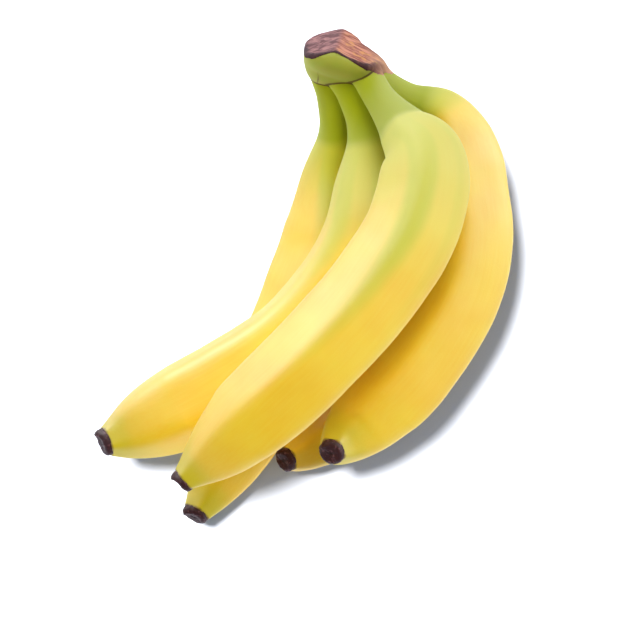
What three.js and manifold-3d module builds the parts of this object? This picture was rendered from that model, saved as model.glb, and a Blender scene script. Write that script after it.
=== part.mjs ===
// A hand of five ripe bananas, cut from its stalk and lying on its side.
// Millimetres, +Z up, resting on z = 0. The crown is at the +Y end and the tips are at the -Y end.
// The upper row is banana_1 on top, banana_2 under it and banana_3 on the ground.
// The outer row is banana_4 and, under it on the ground, banana_5.

import * as THREE from 'three';
import { mergeVertices } from 'three/addons/utils/BufferGeometryUtils.js';
import Module from 'manifold-3d';

const wasm = await Module();
wasm.setup();

// ---------------------------------------------------------------- driving dimensions

const TOUCH_GAP = 0.3; // left between two pieces that grow on each other
const ROOT_LENGTH = 17; // how much of each neck belongs to the crown

// Each banana: path is the line through its middle from inside the crown to its tip.
// girth and neck are diameters, tip is the diameter where the peel ends.
// neckLength, shoulder and taper are lengths along the path, roll and twist turn the ridges.
const BANANAS = [
  {
    name: 'banana_1',
    path: [
      [24, 87.5, 57], [31, 73.5, 66], [41, 59, 75], [48.5, 46, 86], [45, 21.5, 92.5],
      [29, -5.5, 95], [2.5, -35.5, 94.5], [-23, -59.5, 88], [-40.5, -75.5, 81], [-47.5, -81.5, 81],
    ],
    girth: 37.2, neck: 12.8, tip: 10.2,
    neckLength: 15, shoulder: 54, taper: 58, roll: 0, twist: 22,
  },
  {
    name: 'banana_2',
    path: [
      [14.5, 87.5, 50.5], [21.5, 73, 50.5], [26, 58, 50], [26.5, 39, 51], [26, 19, 52.5],
      [14.5, -4, 54.5], [-6, -27, 55], [-34.5, -45, 54.5], [-61, -58.5, 53], [-74.5, -65, 55],
      [-81, -67.5, 57.5],
    ],
    girth: 37.6, neck: 12.4, tip: 12,
    neckLength: 19, shoulder: 52, taper: 42, roll: 45, twist: 0,
  },
  {
    name: 'banana_3',
    path: [
      [9, 89, 44], [12, 74.5, 40], [13, 62, 32], [10.5, 45.5, 22.5], [9, 22.5, 17.5],
      [-0.5, -7, 16.5], [-14.5, -41.5, 16.5], [-28.5, -70.5, 17.5], [-40.5, -91.5, 20.5],
      [-46, -100, 25],
    ],
    girth: 34.8, neck: 12.2, tip: 11.6,
    neckLength: 22, shoulder: 56, taper: 58, roll: 0, twist: 0,
  },
  {
    name: 'banana_4',
    path: [
      [25, 88, 52], [33.5, 80, 51], [43.5, 74.5, 50], [57.5, 69, 49.5], [64, 59, 49.5],
      [67, 40, 50.5], [69, 14.5, 52], [63, -9.5, 53], [44.5, -39, 54], [30.5, -54, 54],
      [21.5, -63, 56], [15, -68.5, 61.5], [12, -71, 67],
    ],
    girth: 36.8, neck: 13, tip: 11,
    neckLength: 19.5, shoulder: 48, taper: 46, roll: 13, twist: 0,
  },
  {
    name: 'banana_5',
    path: [
      [23, 90.5, 42], [30, 77.5, 38], [40.5, 62.5, 28], [49, 38.5, 19.5], [49, 4, 17.5],
      [35, -37.5, 17.5], [18, -61, 19.5], [7, -69, 23.5], [-1, -74, 28], [-7, -76.5, 33.5],
    ],
    girth: 35.5, neck: 12.6, tip: 10.6,
    neckLength: 26, shoulder: 40, taper: 64, roll: 15, twist: 0,
  },
];

const ROOT_FLARE = 0.2; // share that a neck widens by where it leaves the crown
const FLARE_END = 0.6; // share of neckLength over which that flare dies away
const FULLEST_AT = 0.54; // place between neck and tip where a banana is thickest
const SLIMMING = 0.28; // how fast it slims away from there
const TIP_BLUNTNESS = 2.6; // higher keeps a banana thick closer to its tip
const RIDGES = 5;
const RIDGE_SHARPNESS = 8; // higher is more angular
const RIDGES_START = 1; // share of neckLength at which the ridges begin
const RIDGES_FULL = 1.25; // share of the shoulder at which they are at their strongest

const BLOSSOM_LENGTH = 2.6; // dry black end on each tip
const BLOSSOM_NUB = 2; // how far the remains of the flower stand out at one side
const BLOSSOM_NUB_SIDE = THREE.MathUtils.degToRad(80); // turned from the top about the banana
const BLOSSOM_NARROWING = 0.12;

// The fleshy cushion that all the necks grow from is three overlapping lobes.
const LOBES = [
  { centre: [12.5, 94, 50], halfSize: [12, 14, 18], tilt: -5 },
  { centre: [22, 89.5, 49], halfSize: [13, 8.5, 16], tilt: -36 },
  { centre: [15.5, 90, 59], halfSize: [15, 9, 18.5], tilt: -13 },
];
const LOBE_SQUARENESS = 2.7;

// The knife left two flat cuts that meet in a low ridge.
const CUT_RIDGE_POINT = [15.5, 100.5, 52];
const CUT_NORMALS = [[-0.23, 0.89, 0.31], [0.42, 0.8, 0.34]];
const CUT_SKIN = 2.5; // depth that has dried brown
const CUTTER_SIZE = 200;

// Facets round and along each kind of piece.
const BANANA_FACETS = { round: 25, along: 40 };
const ROOT_FACETS = { round: 16, along: 4 };
const BLOSSOM_FACETS = { round: 12, along: 3 };
const LOBE_FACETS = { round: 32, along: 20 };

const UP = new THREE.Vector3(0, 0, 1);

// ---------------------------------------------------------------- materials

const PEEL = new THREE.MeshStandardMaterial({ color: '#f0cb4a', roughness: 0.45, metalness: 0 });
const GREEN_STEM = new THREE.MeshStandardMaterial({ color: '#9fae3c', roughness: 0.5, metalness: 0 });
const DRIED_CUT = new THREE.MeshStandardMaterial({ color: '#7c5a58', roughness: 0.85, metalness: 0 });
const DRY_BLOSSOM = new THREE.MeshStandardMaterial({ color: '#3e2429', roughness: 0.85, metalness: 0 });

// ---------------------------------------------------------------- form of one banana

// Distance from the axis to a rounded five-sided outline. A ridge stands at angle 0.
function roundedPentagon(angle) {
  let sum = 0;
  for (let face = 0; face < RIDGES; face += 1) {
    const faceAngle = ((face + 0.5) * 2 * Math.PI) / RIDGES;
    sum += Math.max(Math.cos(angle - faceAngle), 0) ** RIDGE_SHARPNESS;
  }
  return sum ** (-1 / RIDGE_SHARPNESS);
}

function averagePentagon() {
  const samples = 60;
  let sum = 0;
  for (let k = 0; k < samples; k += 1) {
    sum += roundedPentagon((k * 2 * Math.PI) / samples);
  }
  return sum / samples;
}

const PENTAGON_AVERAGE = averagePentagon();

// The middle line of a banana and the size and shape of its section at each distance along it.
class BananaForm {
  constructor(banana) {
    this.banana = banana;
    const points = banana.path.map(([x, y, z]) => new THREE.Vector3(x, y, z));
    this.curve = new THREE.CatmullRomCurve3(points, false, 'centripetal');
    this.length = this.curve.getLength();
  }

  radius(distance) {
    const { girth, neck, tip, neckLength, shoulder, taper } = this.banana;
    const flare = 1 + ROOT_FLARE * (1 - THREE.MathUtils.smoothstep(distance, 0, neckLength * FLARE_END));
    const neckRadius = (neck / 2) * flare;
    const along = THREE.MathUtils.clamp((distance - neckLength) / (this.length - neckLength), 0, 1);
    const fullRadius = (girth / 2) * (1 - SLIMMING * (along - FULLEST_AT) ** 2);
    const toTip = THREE.MathUtils.clamp((this.length - distance) / taper, 0, 1);
    const bodyRadius = tip / 2 + (fullRadius - tip / 2) * (1 - (1 - toTip) ** TIP_BLUNTNESS);
    const growth = THREE.MathUtils.smoothstep(distance, neckLength, neckLength + shoulder);
    return THREE.MathUtils.lerp(neckRadius, bodyRadius, growth);
  }

  // Share of round (0) to five-sided (1): necks are round and the ridges grow on the shoulder.
  angularity(distance) {
    const { neckLength, shoulder } = this.banana;
    const start = neckLength * RIDGES_START;
    return THREE.MathUtils.smoothstep(distance, start, neckLength + shoulder * RIDGES_FULL);
  }

  // How far the ridges have turned about the middle line.
  turn(distance) {
    const { roll, twist } = this.banana;
    return THREE.MathUtils.degToRad(roll + (twist * distance) / this.length);
  }

  reach(distance, angle) {
    const pentagon = roundedPentagon(angle - this.turn(distance)) / PENTAGON_AVERAGE;
    return this.radius(distance) * THREE.MathUtils.lerp(1, pentagon, this.angularity(distance));
  }

  // Point on the surface (spoke 1) or inside it (spoke 0 is the middle line).
  point(distance, angle, spoke, reach = this.reach(distance, angle)) {
    const inside = THREE.MathUtils.clamp(distance / this.length, 0, 1);
    const tangent = this.curve.getTangentAt(inside);
    const upward = UP.clone().addScaledVector(tangent, -tangent.z).normalize();
    const sideways = new THREE.Vector3().crossVectors(tangent, upward);
    return this.curve
      .getPointAt(inside)
      .addScaledVector(tangent, Math.max(distance - this.length, 0))
      .addScaledVector(upward, spoke * reach * Math.cos(angle))
      .addScaledVector(sideways, spoke * reach * Math.sin(angle));
  }
}

// ---------------------------------------------------------------- geometry helpers

// Moves every vertex of a geometry to where place(vertex) says, and keeps it closed.
function reshape(geometry, place) {
  geometry.deleteAttribute('normal');
  geometry.deleteAttribute('uv');
  const position = geometry.getAttribute('position');
  const vertex = new THREE.Vector3();
  for (let index = 0; index < position.count; index += 1) {
    vertex.fromBufferAttribute(position, index);
    const placed = place(vertex);
    position.setXYZ(index, placed.x, placed.y, placed.z);
  }
  return mergeVertices(geometry);
}

// A closed tube along a banana from one distance to another. Its edges follow the ridges.
function tubeAlong(form, from, to, facets) {
  return reshape(new THREE.CylinderGeometry(1, 1, 1, facets.round, facets.along), (vertex) => {
    const distance = THREE.MathUtils.lerp(to, from, vertex.y + 0.5);
    const angle = Math.atan2(vertex.z, vertex.x) + form.turn(distance);
    return form.point(distance, angle, Math.hypot(vertex.x, vertex.z));
  });
}

function toSolid(geometry) {
  const vertProperties = new Float32Array(geometry.getAttribute('position').array);
  const triVerts = new Uint32Array(geometry.index.array);
  return new wasm.Manifold(new wasm.Mesh({ numProp: 3, vertProperties, triVerts }));
}

function toGeometry(solid) {
  const { vertProperties, triVerts } = solid.getMesh();
  const geometry = new THREE.BufferGeometry();
  geometry.setAttribute('position', new THREE.BufferAttribute(vertProperties, 3));
  geometry.setIndex(new THREE.BufferAttribute(triVerts, 1));
  return geometry;
}

function toMesh(name, geometry, material) {
  geometry.computeVertexNormals();
  const mesh = new THREE.Mesh(geometry, material);
  mesh.name = name;
  return mesh;
}

// ---------------------------------------------------------------- pieces

function peelGeometry(form) {
  const geometry = tubeAlong(form, ROOT_LENGTH + TOUCH_GAP, form.length, BANANA_FACETS);
  // The two lowest bananas press a small flat where they lie.
  return reshape(geometry, (vertex) => vertex.setZ(Math.max(vertex.z, 0)));
}

// The dry end of a tip: a short stub with the remains of the flower standing out at one side.
function blossomGeometry(form) {
  const start = form.length + TOUCH_GAP;
  const stub = new THREE.CylinderGeometry(1, 1, 1, BLOSSOM_FACETS.round, BLOSSOM_FACETS.along);
  return reshape(stub, (vertex) => {
    const along = 0.5 - vertex.y;
    const angle = Math.atan2(vertex.z, vertex.x);
    const spoke = Math.hypot(vertex.x, vertex.z);
    const nubSide = Math.max(Math.cos(angle - BLOSSOM_NUB_SIDE), 0) ** 3;
    const nub = BLOSSOM_NUB * along * spoke * nubSide;
    const reach = (form.banana.tip / 2) * (1 - BLOSSOM_NARROWING * along ** 2);
    return form.point(start + BLOSSOM_LENGTH * along + nub, angle, spoke, reach);
  });
}

function lobeGeometry({ centre, halfSize, tilt }) {
  const ball = new THREE.SphereGeometry(1, LOBE_FACETS.round, LOBE_FACETS.along);
  return reshape(ball, (vertex) => {
    const sum = vertex.toArray().reduce((total, part) => total + Math.abs(part) ** LOBE_SQUARENESS, 0);
    return vertex
      .multiplyScalar(sum ** (-1 / LOBE_SQUARENESS))
      .multiply(new THREE.Vector3(...halfSize))
      .applyAxisAngle(UP, THREE.MathUtils.degToRad(tilt))
      .add(new THREE.Vector3(...centre));
  });
}

// Everything that lies deeper than the given depth under both cuts.
function belowCuts(depth) {
  const blocks = CUT_NORMALS.map((normal) => {
    const direction = new THREE.Vector3(...normal).normalize();
    const block = new THREE.BoxGeometry(CUTTER_SIZE, CUTTER_SIZE, CUTTER_SIZE);
    block.translate(0, 0, -CUTTER_SIZE / 2 - depth);
    block.applyQuaternion(new THREE.Quaternion().setFromUnitVectors(UP, direction));
    block.translate(...CUT_RIDGE_POINT);
    return toSolid(reshape(block, (vertex) => vertex));
  });
  return blocks[0].intersect(blocks[1]);
}

function crownBody(forms) {
  const lobes = LOBES.map((lobe) => toSolid(lobeGeometry(lobe)));
  const roots = forms.map((form) => toSolid(tubeAlong(form, 0, ROOT_LENGTH, ROOT_FACETS)));
  return [...lobes, ...roots].reduce((sum, solid) => sum.add(solid));
}

// ---------------------------------------------------------------- the bunch

const bunch = new THREE.Group();
const forms = BANANAS.map((banana) => new BananaForm(banana));
const body = crownBody(forms);

const crown = body.intersect(belowCuts(CUT_SKIN + TOUCH_GAP));
bunch.add(toMesh('crown', toGeometry(crown), GREEN_STEM));

const cutSkin = body.intersect(belowCuts(0)).subtract(belowCuts(CUT_SKIN));
bunch.add(toMesh('crown_cut', toGeometry(cutSkin), DRIED_CUT));

forms.forEach((form, index) => {
  bunch.add(toMesh(form.banana.name, peelGeometry(form), PEEL));
  bunch.add(toMesh(`blossom_end_${index + 1}`, blossomGeometry(form), DRY_BLOSSOM));
});

export default bunch;
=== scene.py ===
"""A hand of five ripe bananas, cut from its stalk and lying on its side on a white table.

Lengths in the tables are millimetres, as a grower would measure them, and MM turns them to metres.
The crown is at the +Y end and the tips are at the -Y end. +Z is up and the ground is z = 0.
"""

import math
from functools import partial

import bpy
from mathutils import Matrix, Vector


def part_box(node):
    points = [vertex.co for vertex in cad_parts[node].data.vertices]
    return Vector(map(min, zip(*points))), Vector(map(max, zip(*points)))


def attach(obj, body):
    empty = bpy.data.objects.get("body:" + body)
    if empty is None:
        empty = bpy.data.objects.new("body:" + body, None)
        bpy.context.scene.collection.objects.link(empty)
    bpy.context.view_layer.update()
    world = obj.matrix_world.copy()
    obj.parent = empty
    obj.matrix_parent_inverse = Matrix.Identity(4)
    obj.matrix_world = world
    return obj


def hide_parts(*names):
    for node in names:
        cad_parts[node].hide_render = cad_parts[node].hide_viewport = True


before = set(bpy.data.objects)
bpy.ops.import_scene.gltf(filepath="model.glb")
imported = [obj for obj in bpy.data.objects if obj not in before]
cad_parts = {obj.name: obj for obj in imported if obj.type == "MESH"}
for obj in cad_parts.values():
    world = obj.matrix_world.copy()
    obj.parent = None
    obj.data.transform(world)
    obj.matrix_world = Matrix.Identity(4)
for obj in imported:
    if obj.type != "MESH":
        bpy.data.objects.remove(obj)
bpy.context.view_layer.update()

MM = 0.001

# ---------------------------------------------------------------- sizes of the fruit

# Each banana: path is the line through its middle from inside the crown to its tip.
# girth and neck are diameters, tip is the diameter where the peel ends.
# neck_length, shoulder and taper are lengths along the path, roll and twist turn the ridges.
# green_neck is how far from the start of the path the neck stays green.
# unripe is how far lime green still reaches down the fruit, 0 on a ripe one.
# green_tip is how green the last bit before the tip is, 0 to 1.
BANANAS = [
    {
        "path": [(24, 87.5, 57), (31, 73.5, 66), (41, 59, 75), (48.5, 46, 86), (45, 21.5, 92.5),
                 (29, -5.5, 95), (2.5, -35.5, 94.5), (-23, -59.5, 88), (-40.5, -75.5, 81),
                 (-47.5, -81.5, 81)],
        "girth": 37.2, "neck": 12.8, "tip": 10.2,
        "neck_length": 15, "shoulder": 54, "taper": 58, "roll": 0, "twist": 22,
        "green_neck": 41, "unripe": 1.2, "green_tip": 0.75,
    },
    {
        "path": [(14.5, 87.5, 50.5), (21.5, 73, 50.5), (26, 58, 50), (26.5, 39, 51), (26, 19, 52.5),
                 (14.5, -4, 54.5), (-6, -27, 55), (-34.5, -45, 54.5), (-61, -58.5, 53),
                 (-74.5, -65, 55), (-81, -67.5, 57.5)],
        "girth": 37.6, "neck": 12.4, "tip": 12,
        "neck_length": 19, "shoulder": 52, "taper": 42, "roll": 45, "twist": 0,
        "green_neck": 37.5, "unripe": 1.0, "green_tip": 0.65,
    },
    {
        "path": [(9, 89, 44), (12, 74.5, 40), (13, 62, 32), (10.5, 45.5, 22.5), (9, 22.5, 17.5),
                 (-0.5, -7, 16.5), (-14.5, -41.5, 16.5), (-28.5, -70.5, 17.5), (-40.5, -91.5, 20.5),
                 (-46, -100, 25)],
        "girth": 34.8, "neck": 12.2, "tip": 11.6,
        "neck_length": 22, "shoulder": 56, "taper": 58, "roll": 0, "twist": 0,
        "green_neck": 36, "unripe": 0.45, "green_tip": 0.75,
    },
    {
        "path": [(25, 88, 52), (33.5, 80, 51), (43.5, 74.5, 50), (57.5, 69, 49.5), (64, 59, 49.5),
                 (67, 40, 50.5), (69, 14.5, 52), (63, -9.5, 53), (44.5, -39, 54), (30.5, -54, 54),
                 (21.5, -63, 56), (15, -68.5, 61.5), (12, -71, 67)],
        "girth": 36.8, "neck": 13, "tip": 11,
        "neck_length": 19.5, "shoulder": 48, "taper": 46, "roll": 13, "twist": 0,
        "green_neck": 34.5, "unripe": 0.0, "green_tip": 0.75,
    },
    {
        "path": [(23, 90.5, 42), (30, 77.5, 38), (40.5, 62.5, 28), (49, 38.5, 19.5), (49, 4, 17.5),
                 (35, -37.5, 17.5), (18, -61, 19.5), (7, -69, 23.5), (-1, -74, 28),
                 (-7, -76.5, 33.5)],
        "girth": 35.5, "neck": 12.6, "tip": 10.6,
        "neck_length": 26, "shoulder": 40, "taper": 64, "roll": 15, "twist": 0,
        "green_neck": 35.5, "unripe": 0.3, "green_tip": 0.0,
    },
]

NECK_START = 5  # where the peel of a neck comes out from under the cushion
ROOT_FLARE = 0.2  # share that a neck widens by where it leaves the crown
FLARE_END = 0.6  # share of neck_length over which that flare dies away
FULLEST_AT = 0.54  # place between neck and tip where a banana is thickest
SLIMMING = 0.28  # how fast it slims away from there
TIP_BLUNTNESS = 2.6  # higher keeps a banana thick closer to its tip
RIDGES = 5
FACE = 2 * math.pi / RIDGES  # the angle that one face takes up round a banana
RIDGE_SHARPNESS = 8
RIDGES_FULL = 1.25  # share of the shoulder at which the ridges are at their strongest
UNEVENNESS = 0.25  # depth of the shallow hollows in a peel
TIP_BEND = (35, 15)  # distances from the tip between which the skin gets smoother
TIP_EDGE = (1, 4)  # nearer than these it isn't smoothed, so that its edge stays in place
TIP_SMOOTHING = 16  # rounds of smoothing over that bend
PEEL_RINGS = 220
PEEL_SIDES = 90
FACET_DEPTH = 0.6  # slimmer than the girth by this, which keeps a peel inside its faceted form
LINE_STEPS = 40  # points in each stretch of a middle line
OUTLINE_STEPS = 60  # points round the outline where its average reach is worked out

NECK_FADE = (-3.5, 3.5)  # before and after its end, where a green neck turns lime
LIME_START = 38  # where the lime starts to turn yellow
LIME_END = 50  # where it has turned yellow on a ripe banana
LIME_UNRIPE = 65  # how much further that is where unripe is 1
LIME_ON_RIDGE = 45  # and how much further again along the ridge on top
PEEL_ROUGHNESS = 0.6
NECK_ROUGHNESS = 0.95  # a neck is drier and duller
LIME_DULL = 0.6  # share of the way that lime peel is dull like a neck
GREEN_TIP_FADE = (10, 34)  # distances from the tip between which its green fades out
BROWN_EDGE_FADE = (-0.2, 0.4)  # and those between which its brown edge does
BROWN_EDGE_WAVES = 0.7  # how far that edge wanders

BLOSSOM_LENGTH = 2.6  # dry black end on each tip
BLOSSOM_NUB = 1.4  # how far the remains of the flower stand out at one side
BLOSSOM_NUB_SIDE = 80  # degrees from the top about the banana
BLOSSOM_NUB_SLIMNESS = 3  # higher makes them narrower
BLOSSOM_ROOT = 1.0  # how far the dry end reaches into the peel
BLOSSOM_HOLLOW = 0.3  # depth of the middle of its face
BLOSSOM_WRINKLES = 0.35
BLOSSOM_NARROWING = 0.28  # share that it narrows by towards its face
BLOSSOM_CAP = 60  # degrees from the middle of a ball to where its cap becomes that face
BLOSSOM_EDGE = 4  # higher keeps its wall straight for longer on the way to its face
BLOSSOM_FULLNESS = 0.85  # lower fills the face out towards its rim
BLOSSOM_LIPS = 5
LIP_DEPTH = 0.3  # share by which the hollow is deeper at a lip
BLOSSOM_SEGMENTS = 72
BLOSSOM_RINGS = 54

# The fleshy cushion that all the necks grow from is three overlapping lobes.
LOBES = [
    {"centre": (12.5, 94, 50), "half_size": (12, 14, 18), "tilt": -5},
    {"centre": (22, 89.5, 49), "half_size": (13, 8.5, 16), "tilt": -36},
    {"centre": (15.5, 90, 59), "half_size": (15, 9, 18.5), "tilt": -13},
]
LOBE_SQUARENESS = 2.7
LOBE_MELT = 2  # how softly the lobes run into each other
NECK_MELT = 1.4  # how softly the roots of the necks run into them
ROOT_END = 11  # how far along the middle lines the roots reach, into the necks
SUNK = 0.15  # how much smaller their radius is than a neck's
CELL = 0.4  # size of the cells that the crown is made of
CELL_ROOM = 2  # how far the cells go on round it
CRUMB_POINTS = 1000  # a loose bit with fewer points than this is left out

# The knife left two flat cuts that meet in a low ridge.
CUT_RIDGE_POINT = (15.5, 100.5, 52)
CUT_NORMALS = [Vector(normal).normalized() for normal in ((-0.23, 0.89, 0.31), (0.42, 0.8, 0.34))]
CUT_RIDGE_ROUNDING = 1.2
CUT_EDGE_ROUNDING = 1.6
CUT_SKIN = 2.5  # depth that has dried brown
CUT_OVERHANG = 0.2  # how far the dried skin stands out over the flesh
CUT_WRINKLES = 0.35
GREEN_DEPTH = 0.55  # how deep under the cuts the green flesh ends

# Places on the cuts, as the depth under the first one less that under the second: below 0 on the
# first cut, 0 on the ridge and above 0 on the second cut.
SWIRLS_END = (-1, 1.5)  # where the swirls turn to streaks
SKIN_THINS = (-7, -2)
SKIN_THICKENS = (3, 15)
CUT_PALES = (8, 15)
RIM_PALES = (9, 15)

# The dark rim of the cuts, the bruise and painted shade in the fold under the cushion, and the painted
# shade of its short wrinkle.
RIM_FADE = (1.8, 4.0)  # how far in from the edge the rim fades
RIM_WAVES = 3  # how far it wanders
RIM_SIDE = (-0.25, -1, 0)  # the way to the necks, the side where it is darkest
RIM_DARKENS = (-99, -95)  # places along that way between which it gets darker
OLIVE_FADE = (2.5, 5)  # how deep under the cuts the flesh stops being olive
FOLD_FADE = (2.1, 0.3)  # how far from the fold its bruise and painted shade start and are full
FOLD_WIDENS = (9, 22)  # X between which it widens
WRINKLE_X = 7.2
WRINKLE_HALF_WIDTH = 0.3
WRINKLE_WAVES = 2
WRINKLE_FADE = (84, 81.5)  # Y between which it fades in

# ---------------------------------------------------------------- sizes of the patterns

# The distance from one spot, streak or hollow to the next. 1000 / 55 is 55 of them to a metre.
# The values of a cloudy pattern lie between about 0.3 and 0.7, so it is read from there to there.
PEEL_HOLLOWS = 1000 / 55
RIPE_CLOUDS = 25
FIBRE_WIDTH = 1
FIBRE_LENGTH = 1000 / 66
EDGE_RAGS = 1000 / 900
PORES = 0.625  # a quarter of a millimetre is too fine to show, so they are drawn this coarse
CUT_SWIRLS = 4
CUT_STREAKS = 1000 / 130
STREAK_STRETCH = 3  # times as long as they are wide
CUT_BLOTS = 1000 / 230
RIM_RAGS = 6.25
CROWN_CLOUDS = 1000 / 130
CROWN_GRAIN = 1000 / 900
BLOSSOM_CRUMPLES = 1000 / 420
BLOSSOM_FOLDS = 1000 / 700

# ---------------------------------------------------------------- helpers


def paint(hex_colour):
    """An sRGB hex value as the linear colour that a shader takes."""
    parts = [int(hex_colour[place:place + 2], 16) / 255 for place in (1, 3, 5)]
    return (*[p / 12.92 if p <= 0.04045 else ((p + 0.055) / 1.055) ** 2.4 for p in parts], 1)


def scale(spacing):
    """The scale of a pattern whose spots are this many millimetres apart."""
    return 1 / (spacing * MM)


def span(limits):
    """Two limits in millimetres as the inputs of a Map Range node."""
    return {1: limits[0] * MM, 2: limits[1] * MM}


def add_node(tree, kind, wired=None, **settings):
    """Adds a node and returns its outputs. wired gives its inputs by name or number: a value, or
    the output that feeds it. A Map Range node takes 0 from 1 and 2 to 3 and 4, and a Mix node goes
    from 2 to 3, or from colour 6 to 7, as 0 goes to 1."""
    node = tree.nodes.new(kind)
    for name, value in settings.items():
        setattr(node, name, value)
    for key, value in (wired or {}).items():
        if isinstance(value, bpy.types.NodeSocket):
            tree.links.new(value, node.inputs[key])
        else:
            node.inputs[key].default_value = value
    return node.outputs


# The kinds of node that are used most, and the setting that eases a Map Range node in and out.
MATH = "ShaderNodeMath"
VECTOR_MATH = "ShaderNodeVectorMath"
MAP_RANGE = "ShaderNodeMapRange"
MIX = "ShaderNodeMix"
NOISE = "ShaderNodeTexNoise"
EASED = {"interpolation_type": "SMOOTHSTEP"}

SOCKETS = {
    float: "NodeSocketFloat", int: "NodeSocketInt", bool: "NodeSocketBool",
    tuple: "NodeSocketVector",
}


def new_tree(name, sizes):
    """A geometry tree with a named input for each size, which gets its default, and one for the
    material. Returns it, the function that adds a node to it, and its inputs."""
    tree = bpy.data.node_groups.new(name, "GeometryNodeTree")
    tree.interface.new_socket("Geometry", in_out="INPUT", socket_type="NodeSocketGeometry")
    for size, value in sizes.items():
        socket = tree.interface.new_socket(size, in_out="INPUT", socket_type=SOCKETS[type(value)])
        socket.default_value = value
    tree.interface.new_socket("Material", in_out="INPUT", socket_type="NodeSocketMaterial")
    tree.interface.new_socket("Geometry", in_out="OUTPUT", socket_type="NodeSocketGeometry")
    add = partial(add_node, tree)
    return tree, add, add("NodeGroupInput")


def store(add, geometry, values):
    """Keeps values on the points of a geometry, each under its name, and returns the geometry."""
    for name, value in values.items():
        kind = "FLOAT_VECTOR" if value.type == "VECTOR" else "FLOAT"
        geometry = add(
            "GeometryNodeStoreNamedAttribute", {"Geometry": geometry, "Name": name, "Value": value},
            data_type=kind,
        )[0]
    return geometry


def close_tree(add, geometry, material):
    """Ends a tree in real faces with their material."""
    geometry = add("GeometryNodeSetShadeSmooth", {"Geometry": geometry})[0]
    geometry = add("GeometryNodeRealizeInstances", {"Geometry": geometry})[0]
    geometry = add("GeometryNodeSetMaterial", {"Geometry": geometry, "Material": material})[0]
    add("NodeGroupOutput", {"Geometry": geometry})


def grow(name, tree, source, sizes):
    """Runs a tree on a source mesh and returns what grew, as a plain mesh object."""
    stand_in = bpy.data.objects.new(name + "_source", source)
    bpy.context.scene.collection.objects.link(stand_in)
    modifier = stand_in.modifiers.new("growth", "NODES")
    modifier.node_group = tree
    for item in tree.interface.items_tree:
        if item.in_out == "INPUT" and item.name in sizes:
            modifier[item.identifier] = sizes[item.name]
    evaluated = stand_in.evaluated_get(bpy.context.evaluated_depsgraph_get())
    mesh = bpy.data.meshes.new_from_object(evaluated)
    mesh.name = name
    bpy.data.objects.remove(stand_in)
    piece = bpy.data.objects.new(name, mesh)
    bpy.context.scene.collection.objects.link(piece)
    return piece


def string_of_points(name, points):
    """A mesh of points joined in a row."""
    mesh = bpy.data.meshes.new(name)
    mesh.from_pydata(points, [(k, k + 1) for k in range(len(points) - 1)], [])
    return mesh


# ---------------------------------------------------------------- the middle line of a banana


def middle_line(path):
    """A smooth line through the points of a path, in metres. The knots are spaced by the root
    of the distance between points, so it doesn't overshoot where they are close together."""
    points = [Vector(p) * MM for p in path]
    points = [2 * points[0] - points[1], *points, 2 * points[-1] - points[-2]]
    line = []
    for before, start, end, after in zip(points, points[1:], points[2:], points[3:]):
        knots = [math.sqrt((b - a).length) for a, b in ((before, start), (start, end), (end, after))]
        leave = (start - before) / knots[0] - (end - before) / (knots[0] + knots[1])
        leave = (leave + (end - start) / knots[1]) * knots[1]
        arrive = (end - start) / knots[1] - (after - start) / (knots[1] + knots[2])
        arrive = (arrive + (after - end) / knots[2]) * knots[1]
        for step in range(LINE_STEPS):
            t = step / LINE_STEPS
            square = t * t
            cube = square * t
            line.append(
                start * (2 * cube - 3 * square + 1) + leave * (cube - 2 * square + t)
                + end * (3 * square - 2 * cube) + arrive * (cube - square)
            )
    return [*line, points[-2]]


def outline_average():
    """The average reach of the rounded five-sided outline whose faces lie at distance 1."""
    total = 0
    for k in range(OUTLINE_STEPS):
        angle = k * 2 * math.pi / OUTLINE_STEPS
        near = [max(math.cos(angle - (side + 0.5) * FACE), 0) for side in range(RIDGES)]
        total += sum(n ** RIDGE_SHARPNESS for n in near) ** (-1 / RIDGE_SHARPNESS)
    return total / OUTLINE_STEPS


# ---------------------------------------------------------------- how a peel grows


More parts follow.
